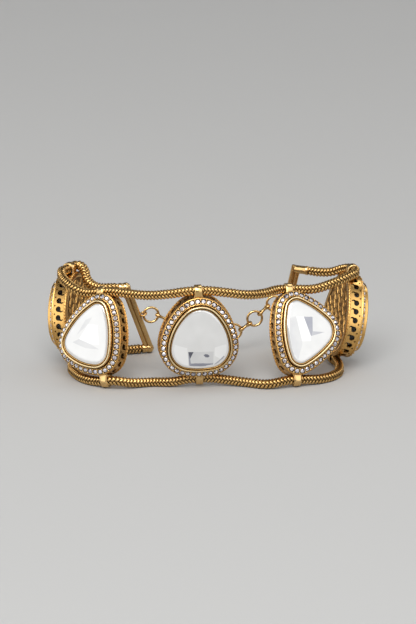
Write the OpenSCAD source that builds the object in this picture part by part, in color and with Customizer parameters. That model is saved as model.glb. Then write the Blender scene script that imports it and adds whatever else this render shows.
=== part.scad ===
/* [Settings] */
// Depth of the pierced gallery wall, from the back edge to the halo
gallery_depth = 4.5; // [3.8:0.1:5.2]
// Thickness of the gallery wall
wall_t = 0.7; // [0.6:0.05:0.8]
// Thickness of the plate that closes the back of each setting
back_t = 0.5; // [0.4:0.1:0.8]
// Slope of the halo away from the bezel, in degrees
halo_slope = 28; // [20:1:32]
// Height of the bezel's rim above the front edge of the gallery wall
bezel_rise = 2.3; // [2.1:0.1:2.6]
// Distance along the wall from one comma-shaped hole to the next
paisley_pitch = 2.5; // [2.4:0.1:3.2]

/* [Stones] */
// Across the girdle of one small brilliant
brilliant_d = 1.24; // [1.0:0.02:1.24]
// Distance from one brilliant to the next along the halo
brilliant_pitch = 1.6; // [1.5:0.05:2]
// Height of the crown of a brilliant above its girdle
brilliant_crown = 0.22; // [0.15:0.01:0.3]
// Depth of a brilliant below its girdle
brilliant_pavilion = 0.36; // [0.25:0.01:0.38]
// Width of the sloping facets round the table of a polki stone
polki_bevel = 1.7; // [1:0.1:2.5]

/* [Chains] */
// Across the flats of the square foxtail chain
chain_w = 2.3; // [2:0.05:2.3]
// Width of the straps that hold the chains, along the chain
strap_w = 2.2; // [1.8:0.1:2.6]
// Thickness of the straps
strap_t = 0.4; // [0.35:0.05:0.6]

/* [Ends] */
// Radius of each of the two tubes that make an end bar
bar_r = 0.75; // [0.65:0.05:0.85]
// Mean radius of the open rings of the extension chain
ring_r = 2.25; // [2.1:0.05:2.4]
// Radius of the wire of the rings
ring_wire_r = 0.31; // [0.25:0.01:0.32]
// Length of a link between the centres of its two eyes
link_l = 2.8; // [2.6:0.1:3]
// Length of the clasp between the centres of its two eyes
clasp_l = 7.45; // [7.2:0.01:8]

/* [Hidden] */
$fn = 48;

gold = [0.72, 0.56, 0.28];
pale_gold = [0.80, 0.66, 0.38];
white_stone = [0.93, 0.94, 0.95];
clear_stone = [0.86, 0.90, 0.94];

// Middle of the loop in the frame that the routes and settings below are given in
loop_middle = [1.64, 14.07, 0];

// Route of the upper chain's centreline, from the left end bar round the front to the right one
UPPER_ROUTE = [
    [-24.2, 19.14, 23.0], [-26.4, 18.7, 23.1], [-29.4, 19.3, 23.0], [-31.9, 20.8, 23.6], [-33.2, 22.4, 24.8],
    [-33.7, 23.8, 26.25], [-34.95, 25.3, 27.65], [-36.6, 26.3, 27.65], [-37.7, 25.3, 27.45], [-39.0, 22.1, 27.5],
    [-40.1, 19.3, 27.7], [-39.8, 16.4, 26.9], [-38.2, 12.8, 26.2],
    [-35.8, 9.9, 25.3], [-33.2, 8.6, 24.6], [-30.0, 7.1, 24.9], [-25.8, 4.9, 25.9], [-20.5, 2.6, 26.0],
    [-15.0, 0.4, 26.2], [-9.5, -1.2, 27.0], [-3.5, -1.4, 27.9], [1.3, -0.8, 27.9], [7.0, -0.4, 27.2],
    [12.2, 1.0, 26.2], [17.0, 4.2, 25.6], [22.0, 8.6, 25.5], [26.4, 10.2, 25.1], [31.8, 11.0, 25.0],
    [36.2, 12.2, 26.0], [41.2, 15.4, 27.2], [43.8, 19.1, 27.7], [42.6, 23.7, 27.5], [40.4, 26.2, 26.6],
    [37.4, 27.2, 25.4], [34.0, 28.4, 25.0], [31.2, 29.75, 25.0]
];

// Route of the lower chain's centreline, the same way round
LOWER_ROUTE = [
    [-17.9, 29.14, 1.42], [-21.5, 28.4, 1.3], [-26.2, 27.4, 1.2], [-31.0, 27.2, 1.3], [-34.4, 24.2, 1.8],
    [-36.2, 19.8, 1.9], [-37.4, 13.0, 1.2], [-35.8, 6.8, 1.2], [-32.6, 1.6, 1.25], [-28.9, -1.1, 1.55],
    [-24.7, -3.3, 2.45], [-20.0, -2.6, 1.7], [-14.0, -0.8, 1.2], [-8.0, -1.2, 1.5], [-3.2, -1.2, 2.4],
    [1.6, -0.6, 2.4], [6.8, -0.4, 1.8], [12.5, -1.2, 1.3], [18.5, -3.0, 1.4], [24.2, -1.8, 2.05],
    [28.6, -0.2, 1.75], [33.5, 1.8, 1.3], [37.6, 5.6, 1.2], [39.3, 11.0, 1.2], [38.6, 17.2, 1.9],
    [37.4, 21.8, 1.8], [35.6, 27.4, 1.3], [31.8, 30.9, 1.2], [27.2, 32.1, 1.35]
];

// Settings. Columns: outline, middle of the upper strap, middle of the lower strap, facing angle,
// tilt of the outline in its own plane, shift of the outline across and up from the strap line, size
SETTINGS = [
    ["egg", [-1.1, -1.1, 27.9], [-0.8, -0.9, 2.4], 8, -2, [0, -0.05], 1],
    ["tall", [-27.9, 6.0, 25.4], [-26.8, -2.2, 2.0], -27.6, -23.8, [-2.08, 1.16], 1],
    ["wide", [24.2, 9.4, 25.3], [26.4, -1.0, 1.9], 18.1, -90.7, [3.92, 0.19], 1],
    ["egg", [-38.3, 23.8, 27.4], [-35.3, 22.0, 1.85], -112, 0, [0, 0], 1.01],
    ["egg", [43.2, 21.4, 27.6], [38.0, 19.5, 1.85], 103, 0, [0, 0], 1.035]
];

function setting_kind(i) = SETTINGS[i][0];
function upper_point(i) = SETTINGS[i][1];
function lower_point(i) = SETTINGS[i][2];
function facing(i) = SETTINGS[i][3];
function outline_tilt(i) = SETTINGS[i][4];
function outline_shift(i) = SETTINGS[i][5];
function outline_size(i) = SETTINGS[i][6];

// Outline of the gallery wall, a rounded triangle of arcs that meet tangentially. The apex arc runs to the
// first angle from the axis, the side arc to the second and the corner arc to the third, which the base closes
EGG = [[45, 85, 170], [8.15, 17.95, 8.35]];
TALL = [[50.2, 80.8, 162], [5.21, 26.54, 6.66]];
WIDE = [[43.9, 64.8, 163.9], [7.44, 28.84, 5.48]];

function kind_shape(k) = k == "egg" ? EGG : k == "tall" ? TALL : WIDE;
function shape(i) = let (s = kind_shape(setting_kind(i))) [s[0], s[1] * outline_size(i)];
function unit(v) = v / norm(v);
function heading(t) = [sin(t), cos(t)];
function arc_end(s, k) = s[0][k];
function arc_middle(s, k) =
    k == 0 ? [0, 0] : arc_middle(s, k - 1) + (arc_r(s, k - 1) - arc_r(s, k)) * heading(arc_end(s, k - 1));
function arc_r(s, k) = k < 3 ? s[1][k] : s[1][2] + arc_middle(s, 2).x / sin(arc_end(s, 2));
function mirrored(p) = [-p.x, p.y];

// The arcs round the outline, clockwise from the apex. Columns: start, end, radius, middle
function arcs(s) = [
    [0, arc_end(s, 0), arc_r(s, 0), arc_middle(s, 0)],
    [arc_end(s, 0), arc_end(s, 1), arc_r(s, 1), arc_middle(s, 1)],
    [arc_end(s, 1), arc_end(s, 2), arc_r(s, 2), arc_middle(s, 2)],
    [arc_end(s, 2), 360 - arc_end(s, 2), arc_r(s, 3), arc_middle(s, 3)],
    [360 - arc_end(s, 2), 360 - arc_end(s, 1), arc_r(s, 2), mirrored(arc_middle(s, 2))],
    [360 - arc_end(s, 1), 360 - arc_end(s, 0), arc_r(s, 1), mirrored(arc_middle(s, 1))],
    [360 - arc_end(s, 0), 360, arc_r(s, 0), arc_middle(s, 0)]
];
function arc_at(a, t) = [for (row = a) if (t >= row[0] && t < row[1]) row][0];
function outline_point(a, t, offset) =
    let (row = arc_at(a, t)) row[3] + (row[2] + offset) * heading(t);
function outline(a, offset, step) = [for (t = [0 : step : 359.9]) outline_point(a, t, offset)];

// Height of the middle of the whole outline above the middle of its apex arc
function outline_middle(a) =
    (outline_point(a, 0, 0).y + outline_point(a, 180, 0).y) / 2;

// Normal angle at a distance along the outline that is offset inward or outward
function arc_length(row, offset) = (row[2] + offset) * (row[1] - row[0]) * PI / 180;
function angle_at(a, offset, s, k = 0) =
    k == 6 || s <= arc_length(a[k], offset)
        ? a[k][0] + s / (a[k][2] + offset) * 180 / PI
        : angle_at(a, offset, s - arc_length(a[k], offset), k + 1);
function girth(a, offset, k = 0) = k > 6 ? 0 : arc_length(a[k], offset) + girth(a, offset, k + 1);

// Cross-section of the metal of a setting, from the outer face of the wall, out and forward: the halo with
// its channel for the brilliants, a groove, the rounded bezel and the ledge under the stone
halo_w = 1.95;
halo_lip = 0.15;
channel_in = 0.22;
channel_w = 1.45;
channel_depth = 0.48;
groove_w = 0.2;
groove_depth = 0.35;
bezel_w = 0.95;
rim_r = 0.35;
rim_slope = 0.5;
ledge_w = 0.6;
ledge_at = 0.5;
ledge_t = 0.4;
shoulder_at = -0.75;
fit_gap = 0.1;
function on_halo(s, up = 0) = [
    -s * cos(halo_slope) + up * sin(halo_slope),
    halo_lip + s * sin(halo_slope) + up * cos(halo_slope)
];
halo_edge = on_halo(halo_w);
bezel_out = halo_edge.x - groove_w;
bezel_in = bezel_out - bezel_w;
SECTION = concat(
    [
        [0, -gallery_depth], [0, halo_lip],
        on_halo(channel_in), on_halo(channel_in, -channel_depth),
        on_halo(channel_in + channel_w, -channel_depth), on_halo(channel_in + channel_w),
        halo_edge, [halo_edge.x, halo_edge.y - groove_depth], [bezel_out, halo_edge.y - groove_depth]
    ],
    [for (t = [0 : 45 : 135]) [bezel_out - rim_r + rim_r * cos(t), bezel_rise - rim_r + rim_r * sin(t)]],
    [
        [bezel_in, bezel_rise - rim_slope], [bezel_in, ledge_at],
        [bezel_in - ledge_w, ledge_at], [bezel_in - ledge_w, ledge_at - ledge_t],
        [-wall_t, shoulder_at], [-wall_t, -gallery_depth]
    ]
);

// The chain passes the wall half way along its depth
chain_depth = -gallery_depth / 2;
tube_r = chain_w / 2 / cos(22.5);
strap_in = 1.4;
strap_out = strap_in + strap_t;

// Local frame of a setting: across, up the straps and out of its face
function up_axis(i) = unit(upper_point(i) - lower_point(i));
function out_axis(i) = unit(cross([cos(facing(i)), sin(facing(i)), 0], up_axis(i)));
function across_axis(i) = cross(up_axis(i), out_axis(i));
function reach(i) = norm(upper_point(i) - lower_point(i));
module at_setting(i) {
    x = across_axis(i);
    y = up_axis(i);
    z = out_axis(i);
    p = (upper_point(i) + lower_point(i)) / 2 - z * chain_depth - loop_middle;
    multmatrix([[x.x, y.x, z.x, p.x], [x.y, y.y, z.y, p.y], [x.z, y.z, z.z, p.z]]) children();
}
module in_outline(i) {
    a = arcs(shape(i));
    translate(concat(outline_shift(i), 0))
        rotate([0, 0, outline_tilt(i)])
            translate([0, -outline_middle(a), 0]) children();
}

// A comma-shaped hole: a round head toward the halo and a tail that curls to the back edge
paisley_r = 0.74;
PAISLEY = concat(
    [for (t = [-45 : 30 : 195]) paisley_r * [cos(t), sin(t)]],
    [[-0.95, -0.65], [-0.85, -1.1], [-0.5, -1.5], [-0.36, -1.35], [-0.5, -1.0], [-0.35, -0.7], [0.1, -0.72]]
);
paisley_at = -2.15;
strap_clear = 1.0;
function across_straps(i, p) = (rotate_2d(p, outline_tilt(i)) + outline_shift(i)).x;
function rotate_2d(p, t) = [p.x * cos(t) - p.y * sin(t), p.x * sin(t) + p.y * cos(t)];
module paisley_holes(i, a) {
    count = round(girth(a, 0) / paisley_pitch);
    for (k = [0 : count - 1]) {
        t = angle_at(a, 0, (k + 0.5) * girth(a, 0) / count);
        p = outline_point(a, t, -wall_t - fit_gap);
        if (abs(across_straps(i, p - [0, outline_middle(a)])) > strap_w / 2 + strap_clear)
            translate([p.x, p.y, paisley_at])
                rotate([90, 0, 180 - t]) linear_extrude(wall_t + 3 * fit_gap) polygon(PAISLEY);
    }
}

// Metal ring of a setting, the section carried round the outline
ring_step = 9;
module section_ring(a) {
    n = 360 / ring_step;
    m = len(SECTION);
    polyhedron(
        [for (k = [0 : n - 1], q = SECTION) concat(outline_point(a, ring_step * k, q.x), q.y)],
        [for (k = [0 : n - 1], j = [0 : m - 1])
            [k * m + j, (k + 1) % n * m + j, (k + 1) % n * m + (j + 1) % m, k * m + (j + 1) % m]]
    );
}

// Hollow in the wall of the tall and the wide setting, where the upper chain lies behind the halo
hollow_r = 1.5;
hollow_l = 9;
module chain_hollow(i) {
    if (setting_kind(i) != "egg")
        translate([0, reach(i) / 2, chain_depth])
            rotate([0, 90, 0]) cylinder(r = hollow_r, h = hollow_l, center = true);
}

module back_plate(a) {
    translate([0, 0, -gallery_depth])
        linear_extrude(back_t) polygon(outline(a, -wall_t / 2, ring_step));
}

// Strap over a chain, open toward the setting, with its legs sunk into the wall
strap_leg = 1.75;
module strap(chain_at) {
    translate([0, chain_at, chain_depth])
        rotate([0, 90, 0])
            difference() {
                union() {
                    cylinder(r = strap_out, h = strap_w, center = true);
                    translate([0, -strap_leg / 2, 0]) cube([2 * strap_out, strap_leg, strap_w], center = true);
                }
                cylinder(r = strap_in, h = strap_w + 1, center = true);
                translate([0, -strap_leg / 2 - 0.5, 0])
                    cube([2 * strap_in, strap_leg + 1, strap_w + 1], center = true);
            }
}

module setting(i) {
    a = arcs(shape(i));
    color(gold)
        at_setting(i) {
            difference() {
                in_outline(i) section_ring(a);
                in_outline(i) paisley_holes(i, a);
                chain_hollow(i);
            }
            in_outline(i) back_plate(a);
            strap(reach(i) / 2);
            mirror([0, 1, 0]) strap(reach(i) / 2);
        }
}

// Polki stone: a thick slab that follows the bezel, with facets up to an eight-sided table
polki_below_rim = 0.15;
polki_crown = 0.75;
polki_table_t = 0.1;
polki_step = 15;
module polki_stone(i) {
    a = arcs(shape(i));
    inset = bezel_in - fit_gap;
    bottom = ledge_at + fit_gap;
    top = bezel_rise - polki_below_rim;
    color(white_stone)
        at_setting(i) in_outline(i)
            hull() {
                translate([0, 0, bottom])
                    linear_extrude(top - polki_crown - bottom) polygon(outline(a, inset, polki_step));
                translate([0, 0, top - polki_table_t])
                    linear_extrude(polki_table_t) polygon(outline(a, inset - polki_bevel, 3 * polki_step));
            }
}

// A brilliant: an eight-sided table, eight crown facets and eight pavilion facets
table_share = 0.58;
module brilliant() {
    girdle_r = brilliant_d / 2;
    table_r = table_share * girdle_r;
    table = [for (t = [0 : 45 : 315]) [table_r * cos(t), table_r * sin(t), brilliant_crown]];
    girdle = [for (t = [0 : 45 : 315]) [girdle_r * cos(t), girdle_r * sin(t), 0]];
    polyhedron(
        concat(table, girdle, [[0, 0, -brilliant_pavilion]]),
        concat(
            [[7, 6, 5, 4, 3, 2, 1, 0]],
            [for (k = [0 : 7]) [k, (k + 1) % 8, 8 + (k + 1) % 8, 8 + k]],
            [for (k = [0 : 7]) [8 + k, 8 + (k + 1) % 8, 16]]
        )
    );
}
module halo_stones(i) {
    a = arcs(shape(i));
    row = on_halo(channel_in + channel_w / 2);
    count = round(girth(a, row.x) / brilliant_pitch);
    color(clear_stone)
        at_setting(i) in_outline(i)
            for (k = [0 : count - 1]) {
                t = angle_at(a, row.x, (k + 0.5) * girth(a, row.x) / count);
                p = outline_point(a, t, row.x);
                translate([p.x, p.y, row.y])
                    rotate([0, 0, 90 - t])
                        rotate([0, halo_slope, 0]) brilliant();
            }
}

// Tube along a route, eight-sided, standing in for a woven chain
function tangent(r, k) = unit(r[min(k + 1, len(r) - 1)] - r[max(k - 1, 0)]);
function tube_ring(r, k) =
    let (t = tangent(r, k), side = unit(cross(t, [0, 0, 1])), top = cross(side, t))
    [for (j = [0 : 7]) r[k] - loop_middle + tube_r * (cos(45 * j + 22.5) * side + sin(45 * j + 22.5) * top)];
module chain_tube(r) {
    n = len(r);
    polyhedron(
        [for (k = [0 : n - 1]) each tube_ring(r, k)],
        concat(
            [[for (j = [0 : 7]) j]],
            [for (k = [0 : n - 2], j = [0 : 7])
                [8 * k + j, 8 * (k + 1) + j, 8 * (k + 1) + (j + 1) % 8, 8 * k + (j + 1) % 8]],
            [[for (j = [7 : -1 : 0]) 8 * (n - 1) + j]]
        )
    );
}

// End bars. Columns: top, bottom, end of the upper chain, end of the lower chain, how far down the eye
// for the first ring is, and the side that it is on
END_BARS = [
    [[-21.9, 19.6, 22.9], [-15.7, 29.6, 1.5], UPPER_ROUTE[0], LOWER_ROUTE[0], 0.455, 1],
    [[27.3, 31.6, 25.0], [22.4, 33.4, 1.5],
        UPPER_ROUTE[len(UPPER_ROUTE) - 1], LOWER_ROUTE[len(LOWER_ROUTE) - 1], 0.43, -1]
];
bar_half = 0.62;
knuckle_r = 1.45;
ferrule_r = 1.2;
eye_r = 0.85;
eye_wire_r = 0.28;
eye_sink = 0.1;
module rod(from, to, r) {
    d = to - from;
    translate(from)
        rotate([0, acos(d.z / norm(d)), atan2(d.y, d.x)]) cylinder(r = r, h = norm(d));
}
module ball(p, r) {
    translate(p) sphere(r = r);
}
function bar_axis(row) = unit(row[1] - row[0]);
function bar_side(row) = unit([1, 0, 0] - bar_axis(row).x * bar_axis(row));
function eye_point(row) =
    row[0] + (row[1] - row[0]) * row[4] + row[5] * (bar_half + bar_r + eye_r - eye_sink) * bar_side(row);
module end_bar(row) {
    side = bar_side(row) * bar_half;
    color(pale_gold)
        translate(-loop_middle) {
            for (s = [-1, 1]) {
                rod(row[0] + s * side, row[1] + s * side, bar_r);
            }
            for (k = [0, 1]) {
                ball(row[k], knuckle_r);
                rod(row[k], row[k + 2] + fit_gap * unit(row[k] - row[k + 2]), ferrule_r);
            }
            translate(eye_point(row))
                rotate([0, acos(bar_axis(row).z), atan2(bar_axis(row).y, bar_axis(row).x)])
                    rotate_extrude() translate([eye_r, 0]) circle(r = eye_wire_r);
        }
}

// Extension chain, from the left bar's eye to the right one. Columns: piece, length, rise in degrees
ring_l = 2 * ring_r;
EXTENSION = [
    ["left_ring_1", ring_l, -9.9], ["left_link_1", link_l, -29.2], ["left_ring_2", ring_l, -34],
    ["left_link_2", link_l, -29.2], ["left_ring_3", ring_l, -17.8], ["clasp", clasp_l, -2.1],
    ["right_ring_1", ring_l, 15.1], ["right_link_1", link_l, 32.3], ["right_ring_2", ring_l, 43],
    ["right_link_2", link_l, 41.9], ["right_ring_3", ring_l, 22.8]
];
extension_start = eye_point(END_BARS[0]);
extension_end = eye_point(END_BARS[1]);
extension_turn = atan2(extension_end.y - extension_start.y, extension_end.x - extension_start.x);
function run_to(k) = k == 0 ? 0 : run_to(k - 1) + EXTENSION[k - 1][1] * cos(EXTENSION[k - 1][2]);
function rise_to(k) = k == 0 ? 0 : rise_to(k - 1) + EXTENSION[k - 1][1] * sin(EXTENSION[k - 1][2]);
function piece_index(name) = search([name], EXTENSION)[0];

// Places a piece with its length along X from the joint where it begins
module on_extension(name) {
    k = piece_index(name);
    translate(extension_start - loop_middle)
        rotate([0, 0, extension_turn])
            translate([run_to(k), 0, rise_to(k)])
                rotate([0, -EXTENSION[k][2], 0]) children();
}
module open_ring(name) {
    color(pale_gold)
        on_extension(name)
            translate([ring_r, 0, 0])
                rotate([90, 0, 0]) rotate_extrude() translate([ring_r, 0]) circle(r = ring_wire_r, $fn = 24);
}
hole_r = 0.6;
eye_out = 0.98;
eye_h = 0.8;
module two_eyes(length, waist, waist_h) {
    difference() {
        union() {
            for (x = [0, length]) {
                translate([x, 0, 0]) cylinder(r = eye_out, h = eye_h, center = true);
            }
            translate([length / 2, 0, 0]) cube([length - eye_out, waist, waist_h], center = true);
        }
        for (x = [0, length]) {
            translate([x, 0, 0]) cylinder(r = hole_r, h = eye_h + 1, center = true);
        }
    }
}
link_waist = 0.7;
link_waist_h = 0.7;
module pinched_link(name) {
    color(pale_gold) on_extension(name) two_eyes(link_l, link_waist, link_waist_h);
}
clasp_waist = 2.2;
clasp_waist_h = 1;
module clasp() {
    color(pale_gold) on_extension("clasp") two_eyes(clasp_l, clasp_waist, clasp_waist_h);
}

module upper_chain() {
    color(gold) chain_tube(UPPER_ROUTE);
}
module lower_chain() {
    color(gold) chain_tube(LOWER_ROUTE);
}

setting(0);  // setting_centre
setting(1);  // setting_left_front
setting(2);  // setting_right_front
setting(3);  // setting_left_side
setting(4);  // setting_right_side
polki_stone(0);  // polki_stone_centre
polki_stone(1);  // polki_stone_left_front
polki_stone(2);  // polki_stone_right_front
polki_stone(3);  // polki_stone_left_side
polki_stone(4);  // polki_stone_right_side
halo_stones(0);  // halo_stones_centre
halo_stones(1);  // halo_stones_left_front
halo_stones(2);  // halo_stones_right_front
halo_stones(3);  // halo_stones_left_side
halo_stones(4);  // halo_stones_right_side
upper_chain();
lower_chain();
end_bar(END_BARS[0]);  // left_end_bar
end_bar(END_BARS[1]);  // right_end_bar
open_ring("left_ring_1");  // left_ring_1
open_ring("left_ring_2");  // left_ring_2
open_ring("left_ring_3");  // left_ring_3
open_ring("right_ring_1");  // right_ring_1
open_ring("right_ring_2");  // right_ring_2
open_ring("right_ring_3");  // right_ring_3
pinched_link("left_link_1");  // left_link_1
pinched_link("left_link_2");  // left_link_2
pinched_link("right_link_1");  // right_link_1
pinched_link("right_link_2");  // right_link_2
clasp();
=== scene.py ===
import math

import bmesh
import bpy
from bpy.props import FloatProperty, FloatVectorProperty, IntProperty, PointerProperty
from mathutils import Matrix, Vector


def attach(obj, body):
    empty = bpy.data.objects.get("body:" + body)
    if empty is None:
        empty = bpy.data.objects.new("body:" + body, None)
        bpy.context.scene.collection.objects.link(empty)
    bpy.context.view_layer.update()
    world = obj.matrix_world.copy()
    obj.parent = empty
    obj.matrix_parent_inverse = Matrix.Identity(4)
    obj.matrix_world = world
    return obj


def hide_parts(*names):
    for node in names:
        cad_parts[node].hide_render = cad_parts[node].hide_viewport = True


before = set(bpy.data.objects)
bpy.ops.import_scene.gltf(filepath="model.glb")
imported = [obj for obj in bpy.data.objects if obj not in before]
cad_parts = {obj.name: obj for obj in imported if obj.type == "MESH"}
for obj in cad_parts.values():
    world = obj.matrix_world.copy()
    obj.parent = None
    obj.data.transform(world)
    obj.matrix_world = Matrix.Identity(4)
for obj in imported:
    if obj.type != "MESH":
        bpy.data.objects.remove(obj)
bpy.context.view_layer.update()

bl_info = {
    "name": "Kundan bracelet",
    "version": (1, 0, 0),
    "blender": (4, 5, 0),
    "location": "View3D > Sidebar > Bracelet",
    "description": "Dresses the bracelet's frame with woven chains, pierced settings and stones",
    "category": "Object",
}

MM = 0.001

# Middle of the loop in the frame that the routes and settings below are given in, in millimetres
LOOP_MIDDLE = Vector((1.64, 14.07, 0))

# Routes of the two chains' centrelines, from the left end bar round the front to the right one
UPPER_ROUTE = [
    (-24.2, 19.14, 23.0), (-26.4, 18.7, 23.1), (-29.4, 19.3, 23.0), (-31.9, 20.8, 23.6),
    (-33.2, 22.4, 24.8), (-33.7, 23.8, 26.25), (-34.95, 25.3, 27.65), (-36.6, 26.3, 27.65),
    (-37.7, 25.3, 27.45), (-39.0, 22.1, 27.5), (-40.1, 19.3, 27.7), (-39.8, 16.4, 26.9),
    (-38.2, 12.8, 26.2), (-35.8, 9.9, 25.3), (-33.2, 8.6, 24.6), (-30.0, 7.1, 24.9),
    (-25.8, 4.9, 25.9), (-20.5, 2.6, 26.0), (-15.0, 0.4, 26.2), (-9.5, -1.2, 27.0),
    (-3.5, -1.4, 27.9), (1.3, -0.8, 27.9), (7.0, -0.4, 27.2), (12.2, 1.0, 26.2),
    (17.0, 4.2, 25.6), (22.0, 8.6, 25.5), (26.4, 10.2, 25.1), (31.8, 11.0, 25.0),
    (36.2, 12.2, 26.0), (41.2, 15.4, 27.2), (43.8, 19.1, 27.7), (42.6, 23.7, 27.5),
    (40.4, 26.2, 26.6), (37.4, 27.2, 25.4), (34.0, 28.4, 25.0), (31.2, 29.75, 25.0),
]
LOWER_ROUTE = [
    (-17.9, 29.14, 1.42), (-21.5, 28.4, 1.3), (-26.2, 27.4, 1.2), (-31.0, 27.2, 1.3), (-34.4, 24.2, 1.8),
    (-36.2, 19.8, 1.9), (-37.4, 13.0, 1.2), (-35.8, 6.8, 1.2), (-32.6, 1.6, 1.25), (-28.9, -1.1, 1.55),
    (-24.7, -3.3, 2.45), (-20.0, -2.6, 1.7), (-14.0, -0.8, 1.2), (-8.0, -1.2, 1.5), (-3.2, -1.2, 2.4),
    (1.6, -0.6, 2.4), (6.8, -0.4, 1.8), (12.5, -1.2, 1.3), (18.5, -3.0, 1.4), (24.2, -1.8, 2.05),
    (28.6, -0.2, 1.75), (33.5, 1.8, 1.3), (37.6, 5.6, 1.2), (39.3, 11.0, 1.2), (38.6, 17.2, 1.9),
    (37.4, 21.8, 1.8), (35.6, 27.4, 1.3), (31.8, 30.9, 1.2), (27.2, 32.1, 1.35),
]
# The stretch of each route in which the lay of the weave turns, hidden by the middle setting's straps
WEAVE_TURN = {"upper_chain": 20, "lower_chain": 14}
# How far from the centreline the wire is clear of patina and painted shade, in millimetres. The lower chain's
# is larger, which paints it darker: painted shade for the chain that lies on the floor.
CLEAR_OF_PATINA_AND_SHADE = {"upper_chain": 1.29, "lower_chain": 1.38}

# Settings: outline, upper and lower strap middles, facing, outline tilt, shift and size
SETTINGS = {
    "centre": ("egg", (-1.1, -1.1, 27.9), (-0.8, -0.9, 2.4), 8, -2, (0, -0.05), 1),
    "left_front": ("tall", (-27.9, 6.0, 25.4), (-26.8, -2.2, 2.0), -27.6, -23.8, (-2.08, 1.16), 1),
    "right_front": ("wide", (24.2, 9.4, 25.3), (26.4, -1.0, 1.9), 18.1, -90.7, (3.92, 0.19), 1),
    "left_side": ("egg", (-38.3, 23.8, 27.4), (-35.3, 22.0, 1.85), -112, 0, (0, 0), 1.01),
    "right_side": ("egg", (43.2, 21.4, 27.6), (38.0, 19.5, 1.85), 103, 0, (0, 0), 1.035),
}

# Outlines of a wall: where the apex, side and corner arcs end, in degrees from the apex, and their radii
OUTLINES = {
    "egg": ((45, 85, 170), (8.15, 17.95, 8.35)),
    "tall": ((50.2, 80.8, 162), (5.21, 26.54, 6.66)),
    "wide": ((43.9, 64.8, 163.9), (7.44, 28.84, 5.48)),
}

# Sizes that all settings share, in millimetres, and the halo's slope in degrees
GALLERY_DEPTH = 4.5
WALL_T = 0.7
CHAIN_DEPTH = -GALLERY_DEPTH / 2
HALO_SLOPE = 28
HALO_LIP = 0.15
CHANNEL_IN = 0.22
CHANNEL_W = 1.45
BEZEL_OUT = -1.92
BEZEL_IN = -2.87
BEZEL_RISE = 2.3
STONE_ROW = CHANNEL_IN + CHANNEL_W / 2


def cos(degrees):
    return math.cos(math.radians(degrees))


def sin(degrees):
    return math.sin(math.radians(degrees))


def heading(t):
    """Outward direction in the outline's plane at a normal angle t, clockwise from the apex."""
    return Vector((sin(t), cos(t)))


def tangent(t):
    return Vector((cos(t), -sin(t)))


def on_halo(along, up=0.0):
    """Offset from the wall and height of a point on the sloping halo."""
    return (
        -along * cos(HALO_SLOPE) + up * sin(HALO_SLOPE),
        HALO_LIP + along * sin(HALO_SLOPE) + up * cos(HALO_SLOPE),
    )


def in_row_frame(point):
    return (Vector(point) - LOOP_MIDDLE) * MM


class Outline:
    """A rounded triangle of arcs that meet tangentially, clockwise from the apex."""

    def __init__(self, kind, size):
        ends, radii = OUTLINES[kind]
        radii = [r * size for r in radii]
        middles = [Vector((0, 0))]
        for k in (0, 1):
            middles.append(middles[k] + (radii[k] - radii[k + 1]) * heading(ends[k]))
        radii.append(radii[2] + middles[2].x / sin(ends[2]))
        middles.append(middles[2] + (radii[2] - radii[3]) * heading(ends[2]))
        half = [(a, b, radii[k], middles[k]) for k, (a, b) in enumerate(zip((0,) + ends, ends))]
        base = (ends[2], 360 - ends[2], radii[3], middles[3])
        back = [(360 - b, 360 - a, r, Vector((-m.x, m.y))) for a, b, r, m in reversed(half)]
        self.arcs = half + [base] + back

    def point(self, t, offset):
        for start, end, radius, middle in self.arcs:
            if start <= t % 360 <= end:
                return middle + (radius + offset) * heading(t)

    def lengths(self, offset):
        return [(radius + offset) * math.radians(end - start) for start, end, radius, middle in self.arcs]

    def girth(self, offset):
        return sum(self.lengths(offset))

    def angle_at(self, share, offset=0.0):
        """Normal angle at a share of the way round the outline that is offset."""
        run = (share % 1) * self.girth(offset)
        for (start, end, radius, middle), length in zip(self.arcs, self.lengths(offset)):
            if run <= length:
                return start + math.degrees(run / (radius + offset))
            run -= length
        return 360.0


class Setting:
    """Where one setting is: its outline, and the frame across, up its straps and out of its face."""

    def __init__(self, name):
        kind, upper, lower, facing, self.tilt, shift, size = SETTINGS[name]
        self.name = name
        self.outline = Outline(kind, size)
        self.shift = Vector(shift)
        self.up = (Vector(upper) - Vector(lower)).normalized()
        self.out = Vector((cos(facing), sin(facing), 0)).cross(self.up).normalized()
        self.across = self.up.cross(self.out)
        self.reach = (Vector(upper) - Vector(lower)).length
        self.origin = (Vector(upper) + Vector(lower)) / 2 - self.out * CHAIN_DEPTH - LOOP_MIDDLE
        self.middle = (self.outline.point(0, 0).y + self.outline.point(180, 0).y) / 2

    def place(self, u, v, w):
        """A point across, up and out, in the row frame."""
        return (self.origin + self.across * u + self.up * v + self.out * w) * MM

    def flat(self, point):
        """A point of the outline's own plane, turned and shifted to the strap line."""
        x, y = point - Vector((0, self.middle))
        tilt = self.tilt
        return Vector((x * cos(tilt) - y * sin(tilt), x * sin(tilt) + y * cos(tilt))) + self.shift

    def at(self, t, offset, w):
        """A point at a normal angle of the outline, offset from the wall and w out of the face."""
        p = self.flat(self.outline.point(t, offset))
        return self.place(p.x, p.y, w)

    def ring(self, count, offset, w):
        return [self.at(self.outline.angle_at(k / count), offset, w) for k in range(count)]


def start_fresh():
    if bpy.context.object and bpy.context.object.mode != "OBJECT":
        bpy.ops.object.mode_set(mode="OBJECT")
    bpy.ops.object.select_all(action="DESELECT")


def only(piece):
    start_fresh()
    piece.select_set(True)
    bpy.context.view_layer.objects.active = piece


def set_ring(piece, ring, recess):
    """Moves the selected loop of vertices onto a ring of points and notes how deep in shade it lies."""
    mesh = bmesh.from_edit_mesh(piece.data)
    order = mesh.verts.layers.int["order"]
    shade = mesh.verts.layers.float["recess"]
    for vert in mesh.verts:
        if vert.select:
            vert.co = ring[vert[order]]
            vert[shade] = recess
    bmesh.update_edit_mesh(piece.data)


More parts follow.
